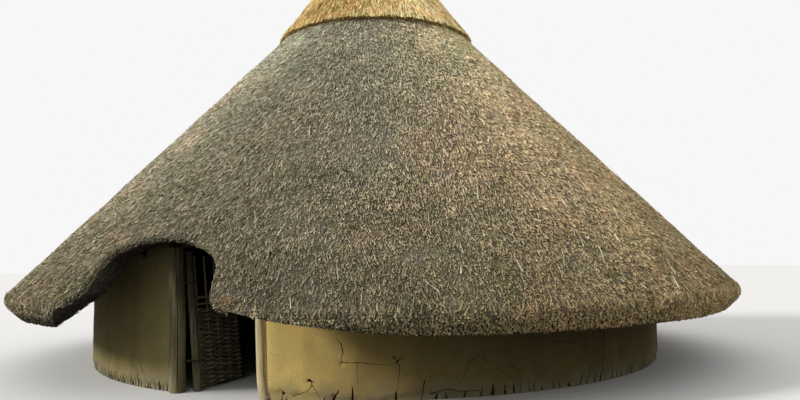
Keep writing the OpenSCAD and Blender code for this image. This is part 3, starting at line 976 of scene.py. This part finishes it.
class Groove:
    """A crack or slot in the daub: a ragged line on the unrolled wall with a width and a depth."""

    def __init__(self, points, width, depth, flat=0.0, tip=0.35, step=0.03, seed=0):
        """points are (metres round the wall, height). flat is the width's share at full depth."""
        chance = random.Random(seed)
        self.depth, self.flat = depth, flat
        self.line = []
        for (s0, z0), (s1, z1) in zip(points, points[1:]):
            count = max(1, round(math.hypot(s1 - s0, z1 - z0) / step))
            for k in range(count):
                t = k / count
                wander = 0.14 * step if self.line else 0
                s = s0 + (s1 - s0) * t + chance.uniform(-1, 1) * wander
                z = z0 + (z1 - z0) * t + chance.uniform(-1, 1) * wander
                self.line.append((s, z))
        self.line.append(points[-1])
        last = len(self.line) - 1
        tapers = [tip + (1 - tip) * (1 - i / last) for i in range(last + 1)]
        self.half = [width / 2 * taper * chance.uniform(0.75, 1.25) for taper in tapers]

    def rails(self):
        """The lines that the wall's mesh needs along the groove: its edges, and its bottom."""
        shares = (1, self.flat, -self.flat, -1) if self.flat else (1, 0, -1)
        rails = [[] for share in shares]
        for i, (s, z) in enumerate(self.line):
            a = self.line[max(i - 1, 0)]
            b = self.line[min(i + 1, len(self.line) - 1)]
            ds, dz = b[0] - a[0], b[1] - a[1]
            length = math.hypot(ds, dz)
            for rail, share in zip(rails, shares):
                reach = share * self.half[i] / length
                rail.append((s - dz * reach, z + ds * reach))
        return rails

    def depth_at(self, s, z):
        deepest = 0.0
        for i in range(len(self.line) - 1):
            (s0, z0), (s1, z1) = self.line[i], self.line[i + 1]
            ds, dz = s1 - s0, z1 - z0
            t = ((s - s0) * ds + (z - z0) * dz) / (ds * ds + dz * dz)
            t = min(max(t, 0), 1)
            away = math.hypot(s - s0 - ds * t, z - z0 - dz * t)
            half = self.half[i] + (self.half[i + 1] - self.half[i]) * t
            if away < half:
                rise = (1 - away / half) / (1 - self.flat)
                deepest = max(deepest, self.depth * min(rise, 1))
        return deepest


def wall_groove(points, width, depth, **more):
    """A groove from points given as (degrees from the doorway, height)."""
    return Groove([(math.radians(a) * WALL_RADIUS, z) for a, z in points], width, depth, **more)


# Cracks right of the doorway: points in degrees from its middle line and metres up, width, depth
SEEN_CRACKS = [
    ([(19.5, 0.60), (19.7, 0.52), (19.5, 0.46), (19.7, 0.41)], 0.015, 0.014),
    ([(19.7, 0.41), (22.0, 0.41), (24.0, 0.39), (26.0, 0.38)], 0.012, 0.012),
    ([(21.7, 0.41), (21.6, 0.30), (21.8, 0.18)], 0.011, 0.010),
    ([(27.0, 0.44), (27.6, 0.36), (27.4, 0.24), (27.2, 0.10)], 0.010, 0.012),
    ([(27.4, 0.43), (27.0, 0.40)], 0.026, 0.014),
    ([(28.8, 0.28), (27.5, 0.24)], 0.006, 0.010),
    ([(31.0, 0.20), (30.8, 0.10), (30.6, 0.0)], 0.018, 0.030),
    ([(40.0, 0.40), (38.8, 0.44), (37.5, 0.38), (37.0, 0.28), (36.0, 0.15)], 0.010, 0.014),
    ([(42.0, 0.28), (44.0, 0.17), (46.5, 0.14)], 0.008, 0.012),
    ([(44.0, 0.32), (45.5, 0.25), (45.5, 0.14)], 0.009, 0.012),
    ([(56.0, 0.50), (51.0, 0.55), (49.0, 0.46), (48.0, 0.35), (47.0, 0.25)], 0.009, 0.012),
    ([(63.0, 0.60), (62.8, 0.38), (62.4, 0.18), (62.0, 0.02)], 0.016, 0.030),
    ([(59.2, 0.24), (59.0, 0.12), (58.8, 0.02)], 0.012, 0.020),
    ([(15.2, 0.22), (15.4, 0.17), (14.6, 0.11), (13.4, 0.07), (12.2, 0.04)], 0.012, 0.014),
    ([(15.4, 0.17), (16.0, 0.11), (16.5, 0.02)], 0.009, 0.012),
    ([(15.0, 0.22), (15.4, 0.21)], 0.036, 0.040),
    ([(32.0, 0.06), (34.0, 0.11), (36.0, 0.08), (39.0, 0.07)], 0.014, 0.020),
    ([(8.9, 0.49), (10.1, 0.48)], 0.006, 0.008),
]
# Slots where the daub has broken away at its foot: degrees, height, width, lean in degrees
SEEN_SLOTS = [
    (10.1, 0.06, 0.016, 0.2),
    (10.9, 0.05, 0.014, 0.2),
    (17.0, 0.03, 0.040, 0.0),
    (18.2, 0.12, 0.030, 0.9),
    (21.0, 0.15, 0.030, 0.0),
    (27.0, 0.10, 0.030, 0.0),
    (32.6, 0.06, 0.034, 0.3),
    (34.2, 0.07, 0.030, -0.2),
    (36.8, 0.06, 0.034, 0.1),
]
# Angles up to which the slots and the cracks above are the photograph's own
SEEN_SLOTS_UNTIL = 38
SEEN_CRACKS_UNTIL = 64.0


def foot_slots(start, end, seed, spacing):
    """Slots and short cracks along the foot of the wall between two angles."""
    chance = random.Random(seed)
    found = []
    turn = start + chance.uniform(0.4, 1) * spacing
    while turn < end - 0.8:
        height = chance.uniform(0.04, 0.13) * (1.4 if chance.random() < 0.2 else 1)
        points = [(turn, 0.0), (turn + chance.uniform(-0.3, 0.3), height)]
        width, depth = chance.uniform(0.014, 0.045), chance.uniform(0.03, 0.06)
        shape = dict(flat=0.55, tip=0.3, step=0.025, seed=chance.random())
        found.append(wall_groove(points, width, depth, **shape))
        turn += chance.uniform(0.5, 1.6) * spacing
    return found


def plain_cracks(start, end, seed, count):
    """Cracks like those in the photograph for the walls that it doesn't show."""
    chance = random.Random(seed)
    found = []
    for k in range(count):
        turn = start + (end - start) * (k + chance.uniform(0.2, 0.8)) / count
        height = chance.uniform(0.15, 0.9)
        steps = chance.randint(2, 4)
        heading = math.radians(chance.choice((90, 75, 10)))
        points = [(turn, height)]
        for j in range(steps):
            heading += chance.uniform(-0.7, 0.7)
            length = chance.uniform(0.08, 0.22)
            turn += math.degrees(math.cos(heading) * length / WALL_RADIUS)
            height = min(max(height - math.sin(heading) * length, 0.02), 1.3)
            points.append((turn, height))
        width = chance.uniform(0.007, 0.012)
        found.append(wall_groove(points, width, 0.013, seed=chance.random()))
    return found


def turns_of(node):
    """First and last angle of a length of wall, in degrees from the doorway."""
    turns = [math.degrees(math.atan2(p.x, -p.y)) % 360 for p in places_in(node)]
    return min(turns), max(turns)


def lattice(start, end, chance):
    """Points over the unrolled wall, closer together at its foot, and the edges of its top rows."""
    points, edges = [], []
    z = 0.0
    while z < LEDGE_HEIGHT - 0.05:
        spacing = FINE_COLUMN if z < FINE_BELOW else PLAIN_COLUMN
        count = round((end - start) / spacing)
        for k in range(count + 1):
            edge = k in (0, count)
            aside = 0 if edge else chance.uniform(-0.3, 0.3) * spacing
            up = 0 if edge or z == 0 else chance.uniform(-0.25, 0.25) * spacing
            points.append((start + (end - start) * k / count + aside, z + up))
        z += FINE_ROW if z < FINE_BELOW else PLAIN_ROW
    count = round((end - start) / PLAIN_COLUMN)
    for level in (LEDGE_HEIGHT, LEDGE_ROW, WALL_HEIGHT):
        edges += [(len(points) + k, len(points) + k + 1) for k in range(count)]
        points += [(start + (end - start) * k / count, level) for k in range(count + 1)]
    return points, edges


def behind(z):
    """Radius and height of the inner face behind a height of the outer face: up the wall,
    out along the ledge, and up the back of the lip."""
    if z < LEDGE_HEIGHT + 0.001:
        return WALL_INNER_RADIUS, z
    share = max(0, (z - LEDGE_ROW) / (WALL_HEIGHT - LEDGE_ROW))
    return LIP_RADIUS, LEDGE_HEIGHT + (LIP_HEIGHT - LEDGE_HEIGHT) * share


def toe(s, z):
    """How far the foot of the wall is worn back, in metres."""
    broad, fine = noise.noise(Vector((s * 0.9, 3.1, 0))), noise.noise(Vector((s * 7, 0, 1)))
    edge = TOE_HEIGHT + TOE_WAVES[0] * broad + TOE_WAVES[1] * fine
    rise = min(max((edge - z) / TOE_EDGE, 0), 1)
    return TOE_DEPTH * rise * rise * (3 - 2 * rise)


def swell(place, swells):
    return sum(reach * noise.noise(place * often) for reach, often in swells)


def daub_length(node, grooves, near_end=None, far_end=None):
    """A length of the ring wall: a curved slab with grooves in its outer face.
    near_end and far_end give the x of the doorway's edge from a height, where the wall stops."""
    start, end = (math.radians(a) * WALL_RADIUS for a in turns_of(node))
    points, edges = lattice(start, end, random.Random(node))
    for rail in (rail for groove in grooves for rail in groove.rails()):
        edges += [(len(points) + i, len(points) + i + 1) for i in range(len(rail) - 1)]
        for s, z in rail:
            s = min(max(s, start + CLOSE), end - CLOSE)
            points.append((s, min(max(z, 0.0), WALL_HEIGHT - CLOSE)))
    corners = [Vector(p) for p in points]
    flat, _, faces, *_ = geometry.delaunay_2d_cdt(corners, edges, [], 0, 1e-4)

    def placed(s, z, radius):
        turn = s / WALL_RADIUS
        for edge_x, edge_s in ((near_end, start), (far_end, end)):
            if edge_x:
                share = max(0, 1 - abs(s - edge_s) / DAUB_BEND)
                edge_turn = math.asin(edge_x(z) / radius) % math.tau
                turn += share * (edge_turn - edge_s / WALL_RADIUS)
        return Vector((math.sin(turn) * radius, -math.cos(turn) * radius, z))

    vertices, worn = [], []
    for s, z in flat:
        out = swell(placed(s, z, WALL_RADIUS), OUTER_SWELLS)
        depth = max((g.depth_at(s, z) for g in grooves), default=0.0)
        vertices.append(placed(s, z, WALL_RADIUS + out - depth - toe(s, z)))
        worn.append(min(depth / CRACK_DEPTH, 1.0))
    for s, z in flat:
        radius, height = behind(z)
        below_ledge = height < LEDGE_HEIGHT - LEDGE_MARGIN
        out = swell(placed(s, height, radius), INNER_SWELLS) if below_ledge else 0
        vertices.append(placed(s, height, radius + out))
        worn.append(0.0)
    count = len(flat)
    outer = [tuple(f) for f in faces]
    sides = dict.fromkeys((a, b) for f in outer for a, b in zip(f, f[1:] + f[:1]))
    inner = [tuple(i + count for i in reversed(f)) for f in outer]
    rim = [(b, a, a + count, b + count) for a, b in sides if (b, a) not in sides]
    mesh = with_painted_crack_shade(new_mesh(node + "_daub", vertices, outer + inner + rim), worn)
    return smooth_but_sharp(mesh, DAUB_CREASE)


def smooth_but_sharp(mesh, angle):
    """Smooth shading, with edges sharper than the angle kept crisp."""
    work = opened(mesh, joined=False)
    bmesh.ops.recalc_face_normals(work, faces=work.faces)
    for face in work.faces:
        face.smooth = True
    for edge in work.edges:
        edge.smooth = len(edge.link_faces) == 2 and edge.calc_face_angle(0) < math.radians(angle)
    return closed(work, mesh)


def line_of(node):
    """Foot and head of a leaning pole, measured on its CAD node."""
    places = places_in(node)
    ends = []
    for level in (min(p.z for p in places), max(p.z for p in places)):
        near = [p for p in places if abs(p.z - level) < CLOSE]
        middle = [(min(p[i] for p in near) + max(p[i] for p in near)) / 2 for i in range(3)]
        ends.append(Vector(middle))
    return ends


def doorway_edge(post, past):
    """The x of the daub's end behind a door post, from a height."""
    foot, head = line_of(post)
    return lambda z: foot.x + (head.x - foot.x) * z / head.z + past


def daub_walls():
    ends = {
        "right_of_door": dict(near_end=doorway_edge("right_door_post", DAUB_BEHIND_RIGHT_POST)),
        "left_of_door": dict(far_end=doorway_edge("left_door_post", DAUB_BEHIND_LEFT_POST)),
    }
    seen = [wall_groove(*crack, seed=i) for i, crack in enumerate(SEEN_CRACKS)]
    for i, (a, height, width, lean) in enumerate(SEEN_SLOTS):
        points = [(a, 0.0), (a + lean, height)]
        seen.append(wall_groove(points, width, 0.05, flat=0.5, step=0.025, seed=i))
    lengths = ("right_of_door", "right_front", "right_back", "back_right")
    lengths += ("back_left", "left_back", "left_front", "left_of_door")
    for i, part in enumerate(lengths):
        node = "wall_" + part
        first, last = turns_of(node)
        grooves = [g for g in seen if first < math.degrees(g.line[0][0] / WALL_RADIUS) < last]
        if last < SEEN_CRACKS_UNTIL:
            grooves += foot_slots(SEEN_SLOTS_UNTIL, last, 20 + i, 1.3)
        elif first < SEEN_CRACKS_UNTIL:
            grooves += foot_slots(first, last, 20 + i, 1.3)
            grooves += plain_cracks(SEEN_CRACKS_UNTIL, last, 40 + i, 4)
        else:
            grooves += foot_slots(first, last, 20 + i, 0.75 if part == "left_of_door" else 1.5)
            grooves += plain_cracks(first, last - 3, 40 + i, 7)
        mesh = daub_length(node, grooves, **ends.get(part, {}))
        place_piece("daub_" + part, mesh, "root", daub, "daub", node)


# Posts and poles


def weathered_pole(name, centres, radius, sides, crack, ridges, seed):
    """A peeled pole along its centres.
    crack is a drying crack's angle and half width in degrees and its depth, or None."""
    shift = Vector((seed * 7.3, seed * 3.1, seed * 1.7))
    vertices, worn, faces = [], [], []
    rings = len(centres)
    for i, centre in enumerate(centres):
        along = (centres[min(i + 1, rings - 1)] - centres[max(i - 1, 0)]).normalized()
        side = Vector((0, 1, 0)).cross(along).normalized()
        other = along.cross(side)
        travel = (centre - centres[0]).length
        t = i / (rings - 1)
        wander = 0.16 * noise.noise(Vector((travel * 1.2, seed, 5)))
        start = math.radians(crack[0]) + wander if crack else 0
        open_share = 0.5 + 0.5 * math.sin(math.pi * min(t * 1.1, 1))
        half = math.radians(crack[1]) * open_share if crack else 0
        for k in range(sides):
            if crack and k in (0, 1, sides - 1):
                angle = start + {0: 0, 1: half, sides - 1: -half}[k]
            elif crack:
                angle = start + (half + (math.tau - 2 * half) * ((k - 1) / (sides - 2)))
            else:
                angle = start + math.tau * (k / sides)
            way = side * math.cos(angle) + other * math.sin(angle)
            broad = noise.noise(Vector((way.x * 1.3, way.y * 1.3, travel * 1.1)) + shift)
            ridge = noise.noise(Vector((way.x * 7, way.y * 7, travel * 0.7)) + shift)
            deep = crack and k == 0
            reach = radius * (1 + 0.045 * broad + ridges * ridge) - (crack[2] if deep else 0)
            vertices.append(centre + way * reach)
            worn.append(1.0 if deep else 0.0)
    round_once = [(k, (k + 1) % sides) for k in range(sides)]
    for base in range(0, (rings - 1) * sides, sides):
        faces += [(base + a, base + b, base + b + sides, base + a + sides) for a, b in round_once]
    for ring, flip in ((0, True), (rings - 1, False)):
        base, middle = ring * sides, len(vertices)
        vertices.append(centres[ring])
        worn.append(0.3)
        for a, b in round_once:
            faces.append((base + b, base + a, middle) if flip else (base + a, base + b, middle))
    return smooth_but_sharp(with_painted_crack_shade(new_mesh(name, vertices, faces), worn), POLE_CREASE)


def points_between(foot, head, step, bend=None):
    """Points along a line, moved sideways by bend(share) where it is given."""
    count = max(2, round((head - foot).length / step))
    points = [foot.lerp(head, i / count) for i in range(count + 1)]
    return [p + bend(i / count) for i, p in enumerate(points)] if bend else points


def half_thickness(node):
    """A pole's radius: its smaller reach across, at its foot."""
    places = places_in(node)
    low = min(p.z for p in places)
    near = [p.y for p in places if p.z < low + CLOSE]
    return (max(near) - min(near)) / 2


def door_frame():
    def bowed(t):
        return Vector((LEFT_POST_BOW * math.sin(3.5 * t), 0, 0)) * math.sin(math.pi * t)

    def kicked(t):
        return Vector((RIGHT_POST_KICK * max(0, 1 - t / 0.16) ** 2, 0, 0))

    for side, bend, material, slot, *shape in (
        ("left", bowed, grey_timber, "grey_timber", 56, (-52, 3.2, 0.03), 0.03, 1),
        ("right", kicked, pale_timber, "pale_timber", 44, None, 0.012, 2),
    ):
        name, node = side + "_post", side + "_door_post"
        centres = points_between(*line_of(node), POST_STEP, bend)
        mesh = weathered_pole(name, centres, half_thickness(node), *shape)
        place_piece(name, mesh, "root", material, slot, node)


# Door


def loose_parts(node):
    """Places of the vertices of each separate solid in a CAD node."""
    work = opened(nodes[node].data)
    found, seen = [], set()
    for vertex in work.verts:
        if vertex in seen:
            continue
        part, todo = [], [vertex]
        seen.add(vertex)
        while todo:
            current = todo.pop()
            part.append(current.co.copy())
            for edge in current.link_edges:
                other = edge.other_vert(current)
                if other not in seen:
                    seen.add(other)
                    todo.append(other)
        found.append(part)
    work.free()
    return found


def axis_line(part):
    """Two ends and the radius of a straight round piece."""
    places = np.array(part)
    centre = places.mean(0)
    way = np.linalg.svd(places - centre, full_matrices=False)[2][0]
    along = (places - centre) @ way
    ends = []
    for level in (along.min(), along.max()):
        near = places[abs(along - level) < 0.02]
        ends.append(Vector((near.min(0) + near.max(0)) / 2))
    off = places - centre - np.outer(along, way)
    return ends[0], ends[1], float(np.linalg.norm(off, axis=1).max())


def rod_tree():
    """Turns lines into round rods of uneven thickness, each with its own shade."""
    tree, given = start_tree("round_rods", ("Radius", "Wander"), "Sides")
    position = add(tree, "GeometryNodeInputPosition").outputs[0]
    drift = vector_maths(tree, "SUBTRACT", noise_of(tree, position, 3.0)["Color"], (0.5, 0.5, 0.5))
    moved = shifted(tree, given["Geometry"], scaled(tree, drift, given["Wander"]))
    uneven = maths(tree, "MULTIPLY_ADD", noise_of(tree, position, 14.0)["Fac"], 0.3, 0.85)
    inputs = {"ID": add(tree, "GeometryNodeInputIndex").outputs[0], "Seed": 3}
    own = add(tree, "FunctionNodeRandomValue", inputs, data_type="FLOAT").outputs[1]
    inputs = {"Resolution": given["Sides"], "Radius": 1.0}
    section = add(tree, "GeometryNodeCurvePrimitiveCircle", inputs).outputs["Curve"]
    inputs = {
        "Curve": with_shade(tree, moved, own, "CURVE"),
        "Profile Curve": section,
        "Scale": maths(tree, "MULTIPLY", uneven, given["Radius"]),
        "Fill Caps": True,
    }
    solid = add(tree, "GeometryNodeCurveToMesh", inputs).outputs[0]
    smooth = add(tree, "GeometryNodeSetShadeSmooth", {"Geometry": solid}).outputs[0]
    return end_tree(tree, smooth, given["Material"])


def lines_curve(name, lines):
    """A curve with one straight-sided spline for each list of points."""
    curve = bpy.data.curves.new(name, "CURVE")
    curve.dimensions = "3D"
    for points in lines:
        spline = curve.splines.new("POLY")
        spline.points.add(len(points) - 1)
        for point, place in zip(spline.points, points):
            point.co = (*place, 1)
    return curve


def smoothed(points, steps):
    """A line through the points, bent smoothly between them."""
    found = []
    last = len(points) - 1
    for i in range(last):
        before, here = points[max(i - 1, 0)], points[i]
        there, after = points[i + 1], points[min(i + 2, last)]
        for k in range(steps):
            t = k / steps
            bend = (2 * before - 5 * here + 4 * there - after) * t * t
            twist = (3 * here - before - 3 * there + after) * t**3
            found.append(0.5 * (2 * here + (there - before) * t + bend + twist))
    return found + [points[-1]]


def rod_line(part):
    """The middle of a woven rod, from the rings of its CAD solid."""
    rings = {}
    for place in part:
        rings.setdefault(round(place.y, 3), []).append(place)
    return [sum(rings[y], Vector()) / len(rings[y]) for y in sorted(rings)]


round_rods = rod_tree()


def wattle(name, node, lines, **sizes):
    """Round rods along the lines, for a node of the door's leaf."""
    curve = lines_curve(name, lines)
    mesh = evaluated_mesh(curve, round_rods, Material=hurdle, **sizes)
    place_piece(name, mesh, "door", hurdle, "door_wattle", node)


def hurdle_door():
    rods = sorted((rod_line(part) for part in loose_parts("door_weave")), key=lambda r: r[0].z)
    lines = [smoothed(rod, 2) for rod in rods]
    wattle("hurdle_rods", "door_weave", lines, Radius=ROD_RADIUS, Wander=0.004, Sides=8)
    for kind in ("stakes", "rails"):
        found = [axis_line(part) for part in loose_parts("door_" + kind)]
        lines = [points_between(a, b, STAKE_STEP) for a, b, r in found]
        radius = min(r for a, b, r in found)
        wattle("hurdle_" + kind, "door_" + kind, lines, Radius=radius, Wander=0.006, Sides=12)

    foot, head, radius = axis_line(loose_parts("door_pole")[0])
    if foot.z > head.z:
        foot, head = head, foot
    centres = points_between(foot, head, POST_STEP)
    mesh = weathered_pole("hanging_pole", centres, radius * 0.97, 36, (-60, 3, 0.008), 0.03, 3)
    place_piece("hanging_pole", mesh, "door", leaf_timber, "grey_timber", "door_pole")


# Light, floor and camera


def in_view(tree):
    """1 for what the camera sees, straight or in a gloss, and 0 for light between surfaces."""
    rays = add(tree, "ShaderNodeLightPath").outputs
    direct = maths(tree, "MAXIMUM", rays["Is Camera Ray"], rays["Is Glossy Ray"])
    return maths(tree, "MAXIMUM", direct, rays["Is Transmission Ray"])


def studio():
    world = bpy.data.worlds.new("studio")
    scene.world = world
    world.use_nodes = True
    tree = world.node_tree
    background = tree.nodes["Background"]
    background.inputs["Color"].default_value = (1, 1, 1, 1)
    up = height_of(tree, add(tree, "ShaderNodeTexCoord").outputs["Generated"])
    soft = maths(tree, "MULTIPLY", ramp(tree, up, (0.05, 0.3), (0.55, 1.0)), SOFT_LIGHT)
    shown = in_view(tree)
    lit = maths(tree, "MULTIPLY", maths(tree, "SUBTRACT", 1.0, shown), soft)
    strength = maths(tree, "MULTIPLY_ADD", shown, BACKDROP_WHITE, lit)
    tree.links.new(strength, background.inputs["Strength"])

    lamp = bpy.data.lights.new("key", "SUN")
    lamp.energy = KEY_STRENGTH
    lamp.angle = KEY_WIDTH
    key = bpy.data.objects.new("key", lamp)
    key.rotation_euler = TO_KEY.to_track_quat("Z", "Y").to_euler()
    scene.collection.objects.link(key)

    material, tree, shader, place = new_material("floor", 0.9, 0.1)
    paint(tree, shader, mix(tree, in_view(tree), FLOOR_BOUNCE, FLOOR_SEEN))
    circle = dict(vertices=96, radius=FLOOR_RADIUS, fill_type="NGON", location=(0, 0, -0.001))
    bpy.ops.mesh.primitive_circle_add(**circle)
    floor = bpy.context.object
    floor.name = "floor"
    floor.data.materials.append(material)


def photo_camera():
    data = bpy.data.cameras.new("camera")
    data.lens = CAMERA_LENS
    data.clip_end = 200
    camera = bpy.data.objects.new("camera", data)
    scene.collection.objects.link(camera)
    camera.matrix_world = (
        Matrix.Translation(CAMERA_PLACE)
        @ Matrix.Rotation(math.radians(CAMERA_HEADING), 4, "Z")
        @ Matrix.Rotation(math.radians(90 + CAMERA_RISE), 4, "X")
        @ Matrix.Rotation(math.radians(CAMERA_ROLL), 4, "Z")
    )
    bpy.context.scene.camera = camera
    scene.view_settings.view_transform = "Standard"


photo_camera()
studio()
thatch()
straw_cap()
daub_walls()
door_frame()
hurdle_door()
dress("door_lintel", dark_timber)
for node in ("wall_plate", "long_rafters", "short_rafters_right", "short_rafters_left"):
    dress(node, roof_poles)
for node in ("upper_hoops", "lower_hoops", "lower_withy_tie", "upper_withy_tie"):
    dress(node, hazel)
